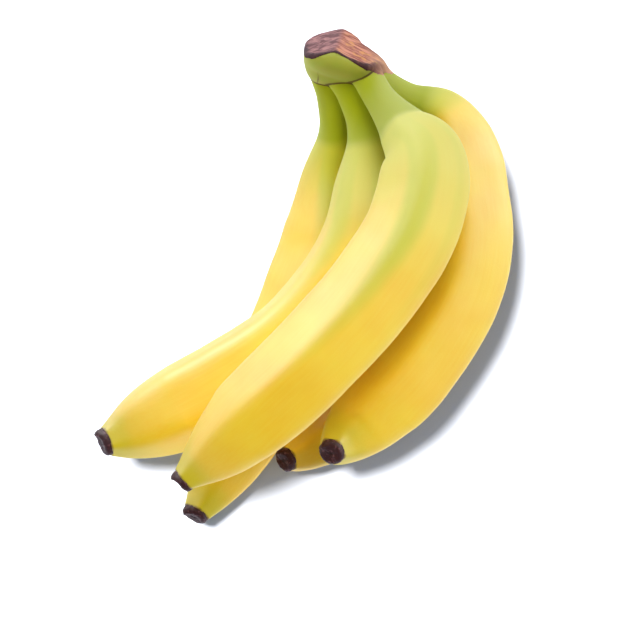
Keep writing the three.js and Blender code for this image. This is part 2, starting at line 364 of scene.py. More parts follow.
def peel_tree():
    """Sweeps the five-sided peel of one banana along its middle line.

    It leaves these on the points for the peel's colours: along and to_tip, the distances from the
    crown and from the tip, ridge, 1 on a ridge and 0 in the middle of a face, upper, 1 on top and
    -1 underneath, green_neck, unripe, green_tip, and straight, the place of the point if the banana
    were bent straight.
    """
    tree, add, size = new_tree("Banana peel", {
        "Girth": 0.037, "Neck": 0.013, "Tip": 0.010, "Neck Length": 0.02, "Shoulder": 0.045,
        "Taper": 0.05, "Roll": 0.0, "Twist": 0.0, "Start": 0.0, "Unevenness": 0.0,
        "Green Neck": 0.0, "Unripe": 0.0, "Green Tip": 0.0, "Rings": 100, "Sides": 60, "Seed": 0.0,
    })

    # The line, cut to where the peel shows, with what the sweep needs kept on its points.
    line = add("GeometryNodeMeshToCurve", {"Mesh": size["Geometry"]})[0]
    length = add("GeometryNodeCurveLength", {"Curve": line})[0]
    line = add(
        "GeometryNodeTrimCurve", {"Curve": line, "Start": size["Start"], "End": length}, mode="LENGTH"
    )[0]
    line = add("GeometryNodeResampleCurve", {"Curve": line, "Count": size["Rings"]})[0]
    passed = add("GeometryNodeSplineParameter")["Length"]
    line = store(add, line, {
        "along": add(MATH, {0: passed, 1: size["Start"]})[0],
        "heading": add("GeometryNodeInputTangent")[0],
        "middle": add("GeometryNodeInputPosition")[0],
    })
    ring = add("GeometryNodeCurvePrimitiveCircle", {"Resolution": size["Sides"], "Radius": MM})[0]
    turned = add("GeometryNodeSplineParameter")["Factor"]
    turned = add(MATH, {0: turned, 1: 2 * math.pi}, operation="MULTIPLY")[0]
    ring = store(add, ring, {"angle": turned})
    peel = add("GeometryNodeCurveToMesh", {"Curve": line, "Profile Curve": ring, "Fill Caps": True})[0]
    along, angle, heading, middle = (
        add("GeometryNodeInputNamedAttribute", {"Name": name}, data_type=kind)[0]
        for name, kind in (
            ("along", "FLOAT"), ("angle", "FLOAT"),
            ("heading", "FLOAT_VECTOR"), ("middle", "FLOAT_VECTOR"),
        )
    )

    # Radius: a neck that flares at the crown, a body that is fullest past its middle, a round tip.
    flare_end = add(MATH, {0: size["Neck Length"], 1: FLARE_END}, operation="MULTIPLY")[0]
    flare = add(MAP_RANGE, {0: along, 2: flare_end, 3: 1 + ROOT_FLARE, 4: 1}, **EASED)[0]
    neck = add(MATH, {0: size["Neck"], 1: flare}, operation="MULTIPLY")[0]
    share = add(MAP_RANGE, {0: along, 1: size["Neck Length"], 2: length})[0]
    share = add(MATH, {0: share, 1: FULLEST_AT}, operation="SUBTRACT")[0]
    share = add(MATH, {0: share, 1: share}, operation="MULTIPLY")[0]
    slim = add(MATH, {0: share, 1: -SLIMMING, 2: 1}, operation="MULTIPLY_ADD")[0]
    full = add(MATH, {0: size["Girth"], 1: slim}, operation="MULTIPLY")[0]
    taper_start = add(MATH, {0: length, 1: size["Taper"]}, operation="SUBTRACT")[0]
    tapered = add(MAP_RANGE, {0: along, 1: taper_start, 2: length})[0]
    tapered = add(MATH, {0: tapered, 1: TIP_BLUNTNESS}, operation="POWER")[0]
    body = add(MIX, {0: tapered, 2: full, 3: size["Tip"]})[0]
    shoulder_end = add(MATH, {0: size["Neck Length"], 1: size["Shoulder"]})[0]
    growth = add(MAP_RANGE, {0: along, 1: size["Neck Length"], 2: shoulder_end}, **EASED)[0]
    across = add(MIX, {0: growth, 2: neck, 3: body})[0]
    radius = add(MATH, {0: across, 1: 0.5}, operation="MULTIPLY")[0]

    # Section: round at the neck and a rounded five-sided outline on the body.
    turn = add(MAP_RANGE, {0: along, 2: length, 4: size["Twist"]})[0]
    turn = add(MATH, {0: turn, 1: size["Roll"]})[0]
    turn = add(MATH, {0: angle, 1: turn}, operation="SUBTRACT")[0]
    on_face = add(MATH, {0: turn, 1: FACE, 2: 0}, operation="WRAP")[0]
    on_face = add(MATH, {0: on_face, 1: FACE / 2}, operation="SUBTRACT")[0]
    outline = 0.0
    for shift in (-FACE, 0, FACE):
        near = add(MATH, {0: on_face, 1: shift})[0]
        near = add(MATH, {0: near}, operation="COSINE")[0]
        near = add(MATH, {0: near, 1: 0}, operation="MAXIMUM")[0]
        near = add(MATH, {0: near, 1: RIDGE_SHARPNESS}, operation="POWER")[0]
        outline = add(MATH, {0: outline, 1: near})[0]
    outline = add(MATH, {0: outline, 1: -1 / RIDGE_SHARPNESS}, operation="POWER")[0]
    outline = add(MATH, {0: outline, 1: outline_average()}, operation="DIVIDE")[0]
    ridges_full = add(
        MATH, {0: size["Shoulder"], 1: RIDGES_FULL, 2: size["Neck Length"]}, operation="MULTIPLY_ADD"
    )[0]
    angular = add(MAP_RANGE, {0: along, 1: size["Neck Length"], 2: ridges_full}, **EASED)[0]
    outline = add(MIX, {0: angular, 2: 1.0, 3: outline})[0]
    reach = add(MATH, {0: radius, 1: outline}, operation="MULTIPLY")[0]
    ridge = add(MATH, {0: on_face}, operation="ABSOLUTE")[0]
    ridge = add(MATH, {0: ridge, 1: FACE / 2}, operation="DIVIDE")[0]

    # The place on a straight banana, and shallow hollows that follow it.
    cosine = add(MATH, {0: angle}, operation="COSINE")[0]
    sine = add(MATH, {0: angle}, operation="SINE")[0]
    rise, side = (
        add(MATH, {0: part, 1: reach}, operation="MULTIPLY")[0]
        for part in (cosine, sine)
    )
    straight = add("ShaderNodeCombineXYZ", {"X": rise, "Y": side, "Z": along})[0]
    straight = add(VECTOR_MATH, {0: straight, 1: size["Seed"]})[0]
    hollows = add(NOISE, {"Vector": straight, "Scale": scale(PEEL_HOLLOWS), "Detail": 1.0})[0]
    hollows = add(MAP_RANGE, {0: hollows, 1: 0.3, 2: 0.7}, **EASED)[0]
    depth = add(MATH, {0: size["Unevenness"], 1: angular}, operation="MULTIPLY")[0]
    depth = add(MATH, {0: hollows, 1: depth}, operation="MULTIPLY")[0]
    reach = add(MATH, {0: reach, 1: depth}, operation="SUBTRACT")[0]

    # Each point goes out from the middle line, in a frame that keeps its top upwards.
    up = (0, 0, 1)
    tilt = add(VECTOR_MATH, {0: heading, 1: up}, operation="DOT_PRODUCT")[1]
    top = add(VECTOR_MATH, {0: heading, "Scale": tilt}, operation="SCALE")[0]
    top = add(VECTOR_MATH, {0: up, 1: top}, operation="SUBTRACT")[0]
    top = add(VECTOR_MATH, {0: top}, operation="NORMALIZE")[0]
    beside = add(VECTOR_MATH, {0: heading, 1: top}, operation="CROSS_PRODUCT")[0]
    place = middle
    for direction, part in ((top, cosine), (beside, sine)):
        part = add(MATH, {0: part, 1: reach}, operation="MULTIPLY")[0]
        step = add(VECTOR_MATH, {0: direction, "Scale": part}, operation="SCALE")[0]
        place = add(VECTOR_MATH, {0: place, 1: step})[0]
    # Nothing goes below the ground, where the two lowest bananas press a small flat.
    place = add(VECTOR_MATH, {0: place, 1: (-1, -1, 0)}, operation="MAXIMUM")[0]
    peel = add("GeometryNodeSetPosition", {"Geometry": peel, "Position": place})[0]

    # The skin is stretched smooth over the bend before the tip.
    to_tip = add(MATH, {0: length, 1: along}, operation="SUBTRACT")[0]
    smooth, held = (
        add(MAP_RANGE, {0: to_tip, **span(limits)})[0]
        for limits in (TIP_BEND, TIP_EDGE)
    )
    smooth = add(MATH, {0: smooth, 1: held}, operation="MULTIPLY")[0]
    place = add("GeometryNodeInputPosition")[0]
    place = add(
        "GeometryNodeBlurAttribute",
        {"Value": place, "Iterations": TIP_SMOOTHING, "Weight": smooth}, data_type="FLOAT_VECTOR",
    )[0]
    peel = add("GeometryNodeSetPosition", {"Geometry": peel, "Position": place})[0]
    peel = store(add, peel, {
        "to_tip": to_tip, "ridge": ridge, "upper": cosine, "green_neck": size["Green Neck"],
        "unripe": size["Unripe"], "green_tip": size["Green Tip"], "straight": straight,
    })
    for name in ("heading", "middle", "angle"):
        peel = add("GeometryNodeRemoveAttribute", {"Geometry": peel, "Name": name})[0]
    close_tree(add, peel, size["Material"])
    return tree


# ---------------------------------------------------------------- how the crown grows


def cut_pattern(add, place, slope):
    """The pattern of the dried cuts: swirls on the first cut, and on the second one streaks that
    run away from the ridge. Returns it, and 0 on the first cut to 1 on the second."""
    ridge = CUT_NORMALS[0].cross(CUT_NORMALS[1]).normalized()
    along = add(VECTOR_MATH, {0: place, 1: ridge}, operation="DOT_PRODUCT")[1]
    along = add(VECTOR_MATH, {0: ridge, "Scale": along}, operation="SCALE")[0]
    # A pattern whose places are pulled apart along the ridge is drawn narrower that way.
    pulled = [STREAK_STRETCH - 1] * 3
    stretched = add(VECTOR_MATH, {0: along, 1: pulled, 2: place}, operation="MULTIPLY_ADD")[0]
    swirls = add(NOISE, {
        "Vector": place, "Scale": scale(CUT_SWIRLS), "Detail": 2.0, "Roughness": 0.5, "Distortion": 0.9,
    })[0]
    streaks = add(NOISE, {
        "Vector": stretched, "Scale": scale(CUT_STREAKS), "Detail": 2.0, "Roughness": 0.5,
        "Distortion": 0.6,
    })[0]
    side = add(MAP_RANGE, {0: slope, **span(SWIRLS_END)}, **EASED)[0]
    return add(MIX, {0: side, 2: swirls, 3: streaks})[0], side


def crown_tree():
    """Fills the space of the crown with little cells and keeps those inside its form: the cushion
    of three lobes, melted into the roots of the necks and sliced by the knife. Dried picks the
    brown skin that the cuts have, and otherwise the green flesh under it.

    It leaves these on the points: crease, 1 in the fold between the cushion and the necks, under,
    the depth under the cuts, inset, the depth under the sides, and slope, below 0 on the first
    cut and above 0 on the second.
    """
    tree, add, size = new_tree("Crown", {
        "Low Corner": (0.0, 0.0, 0.0), "High Corner": (0.0, 0.0, 0.0),
        "Cells X": 50, "Cells Y": 50, "Cells Z": 50, "Squareness": 2.7, "Melt": 0.001,
        "Skin": 0.0025, "Wrinkles": 0.0005, "Dried": False,
    })
    place = add("GeometryNodeInputPosition")[0]

    # How far outside each root a place is.
    neck = add("GeometryNodeInputNamedAttribute", {"Name": "neck"}, data_type="INT")[0]
    thickness = add("GeometryNodeInputNamedAttribute", {"Name": "thickness"}, data_type="FLOAT")[0]
    roots = 1.0
    for number in range(len(BANANAS)):
        chosen = add("FunctionNodeCompare", {2: neck, 3: number}, data_type="INT", operation="EQUAL")[0]
        line = add("GeometryNodeSeparateGeometry", {0: size["Geometry"], 1: chosen}, domain="POINT")[0]
        away = add(
            "GeometryNodeProximity", {"Geometry": line, "Sample Position": place}, target_element="EDGES"
        )["Distance"]
        nearest = add(
            "GeometryNodeSampleNearest", {"Geometry": line, "Sample Position": place}, domain="POINT"
        )[0]
        reach = add(
            "GeometryNodeSampleIndex",
            {"Geometry": line, "Value": thickness, "Index": nearest}, data_type="FLOAT", domain="POINT",
        )[0]
        away = add(MATH, {0: away, 1: reach}, operation="SUBTRACT")[0]
        roots = add(MATH, {0: roots, 1: away, 2: size["Melt"]}, operation="SMOOTH_MIN")[0]

    # How far outside the cushion it is. A lobe is a ball that is a little squared.
    inverse = add(MATH, {0: -1, 1: size["Squareness"]}, operation="DIVIDE")[0]
    cushion = 1.0
    for lobe in LOBES:
        local = add(VECTOR_MATH, {0: place, 1: Vector(lobe["centre"]) * MM}, operation="SUBTRACT")[0]
        local = add(
            "ShaderNodeVectorRotate", {"Vector": local, "Angle": math.radians(-lobe["tilt"])},
            rotation_type="Z_AXIS",
        )[0]
        swell = add(VECTOR_MATH, {0: local, 1: Vector(lobe["half_size"]) * MM}, operation="DIVIDE")[0]
        swell = add(VECTOR_MATH, {0: swell}, operation="ABSOLUTE")[0]
        swell = add(VECTOR_MATH, {0: swell, 1: size["Squareness"]}, operation="POWER")[0]
        swell = add(VECTOR_MATH, {0: swell, 1: (1, 1, 1)}, operation="DOT_PRODUCT")[1]
        swell = add(MATH, {0: swell, 1: inverse}, operation="POWER")[0]
        swell = add(MATH, {0: 1, 1: swell}, operation="SUBTRACT")[0]
        away = add(VECTOR_MATH, {0: local}, operation="LENGTH")[1]
        away = add(MATH, {0: away, 1: swell}, operation="MULTIPLY")[0]
        cushion = add(MATH, {0: cushion, 1: away, 2: LOBE_MELT * MM}, operation="SMOOTH_MIN")[0]
    flesh = add(MATH, {0: cushion, 1: roots, 2: size["Melt"]}, operation="SMOOTH_MIN")[0]

    # How deep it is under the two cuts.
    below = add(VECTOR_MATH, {0: Vector(CUT_RIDGE_POINT) * MM, 1: place}, operation="SUBTRACT")[0]
    depths = [
        add(VECTOR_MATH, {0: below, 1: normal}, operation="DOT_PRODUCT")[1]
        for normal in CUT_NORMALS
    ]
    under = add(MATH, {0: depths[0], 1: depths[1], 2: CUT_RIDGE_ROUNDING * MM}, operation="SMOOTH_MIN")[0]
    slope = add(MATH, {0: depths[0], 1: depths[1]}, operation="SUBTRACT")[0]

    # The skin shrank as it dried, so it is wrinkled.
    pattern = cut_pattern(add, place, slope)[0]
    pattern = add(MAP_RANGE, {0: pattern, 1: 0.3, 2: 0.7})[0]
    shrunk = add(MATH, {0: pattern, 1: size["Wrinkles"]}, operation="MULTIPLY")[0]
    shrunk = add(MATH, {0: shrunk, 1: under}, operation="SUBTRACT")[0]

    # Its lower rim is ragged. It is thinnest at the ridge and thickest far down the second cut, here
    # as shares of its usual depth.
    ragged = add(NOISE, {"Vector": place, "Scale": scale(RIM_RAGS), "Detail": 2.0})[0]
    ragged = add(MAP_RANGE, {0: ragged, 1: 0.3, 2: 0.7, 3: 0.8, 4: 1.1})[0]
    thinner, thicker = (
        add(MAP_RANGE, {0: slope, **span(limits), 3: before, 4: after}, **EASED)[0]
        for limits, before, after in ((SKIN_THINS, 0.95, 0.35), (SKIN_THICKENS, 0.0, 1.3))
    )
    deep = add(MATH, {0: thinner, 1: thicker})[0]
    for factor in (deep, size["Skin"]):
        ragged = add(MATH, {0: ragged, 1: factor}, operation="MULTIPLY")[0]
    above_rim = add(MATH, {0: under, 1: ragged}, operation="SUBTRACT")[0]

    # Below 0 is inside, for the dried skin and for the green flesh.
    proud = add(MATH, {0: flesh, 1: CUT_OVERHANG * MM}, operation="SUBTRACT")[0]
    sliced = add(MATH, {0: GREEN_DEPTH * MM, 1: under}, operation="SUBTRACT")[0]
    dried, green = (
        add(MATH, {0: sides, 1: face, 2: CUT_EDGE_ROUNDING * MM}, operation="SMOOTH_MAX")[0]
        for sides, face in ((proud, shrunk), (flesh, sliced))
    )
    dried = add(MATH, {0: dried, 1: above_rim}, operation="MAXIMUM")[0]
    outside = add("GeometryNodeSwitch", {0: size["Dried"], 1: green, 2: dried}, input_type="FLOAT")[0]

    inside = add(MAP_RANGE, {0: outside, 1: MM, 2: -MM, 3: 0.0, 4: 1.0})[0]
    crown = add("GeometryNodeVolumeCube", {
        "Density": inside, "Min": size["Low Corner"], "Max": size["High Corner"],
        "Resolution X": size["Cells X"], "Resolution Y": size["Cells Y"],
        "Resolution Z": size["Cells Z"],
    })[0]
    crown = add("GeometryNodeVolumeToMesh", {"Volume": crown, "Threshold": 0.5})[0]
    # The ragged edge leaves loose crumbs round it, which have few points.
    island = add("GeometryNodeInputMeshIsland")["Island Index"]
    points = add(
        "GeometryNodeAccumulateField", {"Value": 1, "Group ID": island}, data_type="INT"
    )["Total"]
    crumb = add(
        "FunctionNodeCompare", {2: points, 3: CRUMB_POINTS}, data_type="INT", operation="LESS_THAN"
    )[0]
    crown = add("GeometryNodeDeleteGeometry", {"Geometry": crown, "Selection": crumb})[0]

    apart = add(MATH, {0: cushion, 1: roots}, operation="MAXIMUM")[0]
    crease = add(MAP_RANGE, {0: apart, **span(FOLD_FADE)}, **EASED)[0]
    inset = add(MATH, {0: 0, 1: flesh}, operation="SUBTRACT")[0]
    crown = store(add, crown, {"crease": crease, "under": under, "slope": slope, "inset": inset})
    close_tree(add, crown, size["Material"])
    return tree


# ---------------------------------------------------------------- how a blossom end dries


def blossom_tree():
    """Shapes the dry end of a tip from a ball: a short stub whose face sinks between dried lips,
    with the remains of the flower standing out at one side. It points along +Z from z = 0. It
    leaves spoke on the points, 0 in the middle of the face to 1 at its rim."""
    tree, add, size = new_tree("Blossom end", {
        "Radius": 0.005, "Length": 0.0045, "Nub": 0.002, "Nub Side": 0.0, "Root": 0.001,
        "Hollow": 0.001, "Wrinkles": 0.0005, "Segments": 64, "Rings": 48, "Seed": 0.0,
    })
    ball = add("GeometryNodeMeshUVSphere", {
        "Segments": size["Segments"], "Rings": size["Rings"], "Radius": 1.0,
    })[0]
    place = add("GeometryNodeInputPosition")[0]
    part = add("ShaderNodeSeparateXYZ", {0: place})
    angle = add(MATH, {0: part["Y"], 1: part["X"]}, operation="ARCTAN2")[0]

    # The ball's upper cap becomes the face, the band under it the wall, and the rest the root.
    cap = math.radians(BLOSSOM_CAP)
    height = add(MAP_RANGE, {0: part["Z"], 1: 0.0, 2: math.cos(cap)}, **EASED)[0]
    sunk = add(MAP_RANGE, {0: part["Z"], 1: 0.0, 2: -1.0})[0]
    flat = add(VECTOR_MATH, {0: place, 1: (1, 1, 0)}, operation="MULTIPLY")[0]
    spoke = add(VECTOR_MATH, {0: flat}, operation="LENGTH")[1]
    spoke = add(MAP_RANGE, {0: spoke, 1: 0.0, 2: math.sin(cap)})[0]
    spoke = add(MATH, {0: spoke, 1: BLOSSOM_FULLNESS}, operation="POWER")[0]
    ball = store(add, ball, {"spoke": spoke})

    side = add(MATH, {0: angle, 1: size["Nub Side"]}, operation="SUBTRACT")[0]
    side = add(MATH, {0: side}, operation="COSINE")[0]
    side = add(MATH, {0: side, 1: 0}, operation="MAXIMUM")[0]
    nub = add(MATH, {0: side, 1: BLOSSOM_NUB_SLIMNESS}, operation="POWER")[0]
    for factor in (size["Nub"], spoke):
        nub = add(MATH, {0: nub, 1: factor}, operation="MULTIPLY")[0]

    # The face sinks towards its middle, and the dried lips run in to it.
    inwards = add(MATH, {0: 1, 1: spoke}, operation="SUBTRACT")[0]
    inwards = add(MAP_RANGE, {0: inwards, 1: 0.0, 2: 0.8}, **EASED)[0]
    lips = add(MATH, {0: angle, 1: BLOSSOM_LIPS, 2: size["Seed"]}, operation="MULTIPLY_ADD")[0]
    lips = add(MATH, {0: lips}, operation="COSINE")[0]
    lips = add(MATH, {0: lips, 1: LIP_DEPTH, 2: 1}, operation="MULTIPLY_ADD")[0]
    hollow = inwards
    for factor in (lips, size["Hollow"]):
        hollow = add(MATH, {0: hollow, 1: factor}, operation="MULTIPLY")[0]
    out = add(MATH, {0: size["Length"], 1: nub})[0]
    out = add(MATH, {0: out, 1: hollow}, operation="SUBTRACT")[0]
    out = add(MATH, {0: out, 1: height}, operation="MULTIPLY")[0]
    root = add(MATH, {0: sunk, 1: size["Root"]}, operation="MULTIPLY")[0]
    out = add(MATH, {0: out, 1: root}, operation="SUBTRACT")[0]

    reach = add(MATH, {0: height, 1: BLOSSOM_EDGE}, operation="POWER")[0]
    reach = add(MATH, {0: reach, 1: -BLOSSOM_NARROWING, 2: 1}, operation="MULTIPLY_ADD")[0]
    for factor in (size["Radius"], spoke):
        reach = add(MATH, {0: factor, 1: reach}, operation="MULTIPLY")[0]
    across = add(VECTOR_MATH, {0: flat}, operation="NORMALIZE")[0]
    across = add(VECTOR_MATH, {0: across, "Scale": reach}, operation="SCALE")[0]
    outwards = add("ShaderNodeCombineXYZ", {"Z": out})[0]
    shaped = add(VECTOR_MATH, {0: across, 1: outwards})[0]
    ball = add("GeometryNodeSetPosition", {"Geometry": ball, "Position": shaped})[0]

    # It crumples as it dries, mostly inwards.
    normal = add("GeometryNodeInputNormal")[0]
    moved = add("GeometryNodeInputPosition")[0]
    moved = add(VECTOR_MATH, {0: moved, 1: size["Seed"]})[0]
    crumple = add(NOISE, {
        "Vector": moved, "Scale": scale(BLOSSOM_CRUMPLES), "Detail": 3.0, "Roughness": 0.55,
        "Distortion": 0.4,
    })[0]
    crumple = add(MAP_RANGE, {0: crumple, 1: 0.3, 2: 0.7, 3: -1.0, 4: 0.15})[0]
    crumple = add(MATH, {0: crumple, 1: size["Wrinkles"]}, operation="MULTIPLY")[0]
    crumple = add(VECTOR_MATH, {0: normal, "Scale": crumple}, operation="SCALE")[0]
    ball = add("GeometryNodeSetPosition", {"Geometry": ball, "Offset": crumple})[0]
    close_tree(add, ball, size["Material"])
    return tree


# ---------------------------------------------------------------- colours

RIPE_YELLOW = paint("#f4cf2c")
DEEP_YELLOW = paint("#f1c320")
FIBRE_YELLOW = paint("#f5dc4b")
LIME_YELLOW = paint("#c1c332")
NECK_GREEN = paint("#a4ad14")
TIP_GREEN = paint("#beb614")
BROWN_EDGE = paint("#6a4a26")
CROWN_GREEN = paint("#a0ac3b")
CROWN_OLIVE = paint("#a6a83e")
# Partly a bruise and partly painted shade, in the fold under the cushion and its short wrinkle.
BRUISE_AND_SHADE_BROWN = paint("#563c14")
OLD_CUT_DARK = paint("#6c4143")
OLD_CUT_LIGHT = paint("#b17b77")
FRESH_CUT_RED = paint("#91483a")
FRESH_CUT_PINK = paint("#d58f72")
FRESH_CUT_ORANGE = paint("#dc9a58")
FRESH_CUT_CREAM = paint("#dfae86")
DARK_RIM = paint("#3e2329")
BLOSSOM_BLACK = paint("#391c1f")
# Partly dust and partly painted sheen, on the raised folds of the blossom ends.
BLOSSOM_SHEEN_AND_DUST_GREY = paint("#7c5259")
BLOSSOM_PIT = paint("#1a0f10")
PAPER_WHITE = paint("#adafb5")

# ---------------------------------------------------------------- materials


def new_material(name, roughness, specular):
    """A material with one shader. The numbers are the same all over the surface. Returns it, the
    function that adds a node to it, and the shader."""
    material = bpy.data.materials.new(name)
    material.use_nodes = True
    shader = material.node_tree.nodes["Principled BSDF"]
    shader.inputs["Roughness"].default_value = roughness
    shader.inputs["Specular IOR Level"].default_value = specular
    return material, partial(add_node, material.node_tree), shader


def soften(shader, weight, radius, depth):
    """Lets light spread under a waxy skin to a depth in millimetres. radius is the share of it
    that red, green and blue light reach."""
    shader.inputs["IOR"].default_value = 1.45
    shader.inputs["Subsurface Weight"].default_value = weight
    shader.inputs["Subsurface Radius"].default_value = radius
    shader.inputs["Subsurface Scale"].default_value = depth * MM


def read(add, *names):
    """The numbers that the trees left on the points, by name."""
    return [add("ShaderNodeAttribute", attribute_name=name)["Fac"] for name in names]


def layer(add, colour, *coats):
    """Lays coats over a colour, each with how much of it covers what is below, 0 to 1."""
    for cover, coat in coats:
        colour = add(MIX, {0: cover, 6: colour, 7: coat}, data_type="RGBA")[2]
    return colour


def finish(add, shader, looks, relief, strength, depth):
    """Gives a shader its looks, by the name of the input, and a fine relief, depth in
    millimetres."""
    bump = add("ShaderNodeBump", {"Strength": strength, "Distance": depth * MM, "Height": relief})[0]
    for name, value in {**looks, "Normal": bump}.items():
        shader.id_data.links.new(value, shader.inputs[name])


def peel_material():
    """Banana peel: a smooth waxy skin over soft white flesh, so its gloss is low and broad and
    light spreads a little under it. It ripens from the middle: the neck, the ridges near it and
    the last bit before the tip stay green longest."""
    material, add, shader = new_material("banana_peel", roughness=PEEL_ROUGHNESS, specular=1.0)
    soften(shader, weight=0.12, radius=(1.0, 0.55, 0.12), depth=2.5)
    along, to_tip, ridge, upper, green_neck, unripe, green_tip = read(
        add, "along", "to_tip", "ridge", "upper", "green_neck", "unripe", "green_tip"
    )
    straight = add("ShaderNodeAttribute", attribute_name="straight")["Vector"]

    # Clouds of ripeness, and fibres that run the length of the fruit.
    clouds = add(NOISE, {"Vector": straight, "Scale": scale(RIPE_CLOUDS), "Detail": 2.0})["Fac"]
    combed = (scale(FIBRE_WIDTH), scale(FIBRE_WIDTH), scale(FIBRE_LENGTH))
    combed = add(VECTOR_MATH, {0: straight, 1: combed}, operation="MULTIPLY")[0]
    fibres = add(NOISE, {"Vector": combed, "Scale": 1.0, "Detail": 2.0})["Fac"]
    deep = add(MAP_RANGE, {0: clouds, 1: 0.35, 2: 0.65})[0]
    streak = add(MAP_RANGE, {0: fibres, 1: 0.35, 2: 0.7, 3: 0.0, 4: 0.18})[0]

    # The clouds make every limit of the green wavy, by up to this many millimetres.
    stem_reach, lime_reach, tip_reach = (
        add(MATH, {0: clouds, 1: waves * MM, 2: reach}, operation="MULTIPLY_ADD")[0]
        for waves, reach in ((6, along), (12, along), (20, to_tip))
    )
    past = add(MATH, {0: stem_reach, 1: green_neck}, operation="SUBTRACT")[0]
    stem = add(MAP_RANGE, {0: past, **span(NECK_FADE), 3: 1.0, 4: 0.0}, **EASED)[0]

    # Past the green neck the peel ripens from lime to yellow, and lime reaches furthest on the less
    # ripe ones, near a ridge that lies on top.
    ridge_line, on_top = (
        add(MAP_RANGE, {0: value, 1: start, 2: end}, **EASED)[0]
        for value, start, end in ((ridge, 0.25, 0.95), (upper, 0.5, 0.9))
    )
    for factor in (on_top, unripe):
        ridge_line = add(MATH, {0: ridge_line, 1: factor}, operation="MULTIPLY")[0]
    lime_reach = add(
        MATH, {0: ridge_line, 1: -LIME_ON_RIDGE * MM, 2: lime_reach}, operation="MULTIPLY_ADD"
    )[0]
    limit = add(MATH, {0: unripe, 1: LIME_UNRIPE * MM, 2: LIME_END * MM}, operation="MULTIPLY_ADD")[0]
    lime = add(MAP_RANGE, {0: lime_reach, 1: LIME_START * MM, 2: limit, 3: 0.9, 4: 0.0}, **EASED)[0]
    green_end = add(MAP_RANGE, {0: tip_reach, **span(GREEN_TIP_FADE), 3: green_tip, 4: 0.0}, **EASED)[0]

    # The peel browns in a ragged line where it meets the dry end.
    ragged = add(NOISE, {"Vector": straight, "Scale": scale(EDGE_RAGS), "Detail": 2.0})["Fac"]
    ragged = add(MATH, {0: ragged, 1: -BROWN_EDGE_WAVES * MM, 2: to_tip}, operation="MULTIPLY_ADD")[0]
    edge = add(MAP_RANGE, {0: ragged, **span(BROWN_EDGE_FADE), 3: 0.8, 4: 0.0})[0]
    colour = layer(
        add, RIPE_YELLOW, (deep, DEEP_YELLOW), (streak, FIBRE_YELLOW), (lime, LIME_YELLOW),
        (stem, NECK_GREEN), (green_end, TIP_GREEN), (edge, BROWN_EDGE),
    )

    # The necks are drier and duller than the fruit.
    dull = add(MATH, {0: lime, 1: LIME_DULL}, operation="MULTIPLY")[0]
    dull = add(MATH, {0: dull, 1: stem}, operation="MAXIMUM")[0]
    dull = add(MAP_RANGE, {0: dull, 3: PEEL_ROUGHNESS, 4: NECK_ROUGHNESS})[0]

    # Fibres stand out half as much again as pores.
    pores = add(NOISE, {"Vector": straight, "Scale": scale(PORES), "Detail": 1.0})["Fac"]
    relief = add(MATH, {0: fibres, 1: 1.5, 2: pores}, operation="MULTIPLY_ADD")[0]
    finish(add, shader, {"Base Color": colour, "Roughness": dull}, relief, strength=0.12, depth=0.25)
    return material


def crown_material():
    """The green flesh of the crown under the same waxy skin. It is painted brown in the fold between
    the cushion and the necks, partly a bruise and partly painted shade, and olive just under the cuts."""
    material, add, shader = new_material("crown_green_skin", roughness=0.8, specular=0.35)
    soften(shader, weight=0.1, radius=(0.8, 1.0, 0.15), depth=2)
    place = add("ShaderNodeTexCoord")["Object"]
    part = add("ShaderNodeSeparateXYZ", {0: place})
    crease, under = read(add, "crease", "under")
    clouds = add(NOISE, {"Vector": place, "Scale": scale(CROWN_CLOUDS), "Detail": 3.0})["Fac"]
    olive = add(MAP_RANGE, {0: clouds, 1: 0.35, 2: 0.65})[0]
    near_cut = add(MAP_RANGE, {0: under, **span(OLIVE_FADE), 3: 0.5, 4: 0.0})[0]

    # The bruise and painted shade in the fold widen towards the outer necks.
    outwards = add(MAP_RANGE, {0: part["X"], **span(FOLD_WIDENS), 3: 1.0, 4: 2.6})[0]
    fold = crease
    for factor in (clouds, outwards):
        fold = add(MATH, {0: fold, 1: factor}, operation="MULTIPLY")[0]
    fold = add(MAP_RANGE, {0: fold, 1: 0.15, 2: 0.5, 3: 0.0, 4: 0.85})[0]

    # The painted shade of one short wrinkle runs up the cushion from that fold.
    wrinkle_shade = add(MATH, {0: clouds, 1: WRINKLE_WAVES * MM, 2: part["X"]}, operation="MULTIPLY_ADD")[0]
    wrinkle_shade = add(
        MATH, {0: wrinkle_shade, 1: WRINKLE_X * MM, 2: WRINKLE_HALF_WIDTH * MM}, operation="COMPARE"
    )[0]
    reach = add(MAP_RANGE, {0: part["Y"], **span(WRINKLE_FADE), 3: 0.0, 4: 0.55})[0]
    wrinkle_shade = add(MATH, {0: wrinkle_shade, 1: reach}, operation="MULTIPLY")[0]
    fold = add(MATH, {0: fold, 1: wrinkle_shade}, operation="MAXIMUM")[0]
    colour = layer(add, CROWN_GREEN, (olive, CROWN_OLIVE), (near_cut, CROWN_OLIVE), (fold, BRUISE_AND_SHADE_BROWN))
    grain = add(NOISE, {"Vector": place, "Scale": scale(CROWN_GRAIN), "Detail": 2.0})["Fac"]
    finish(add, shader, {"Base Color": colour}, grain, strength=0.2, depth=0.25)
    return material


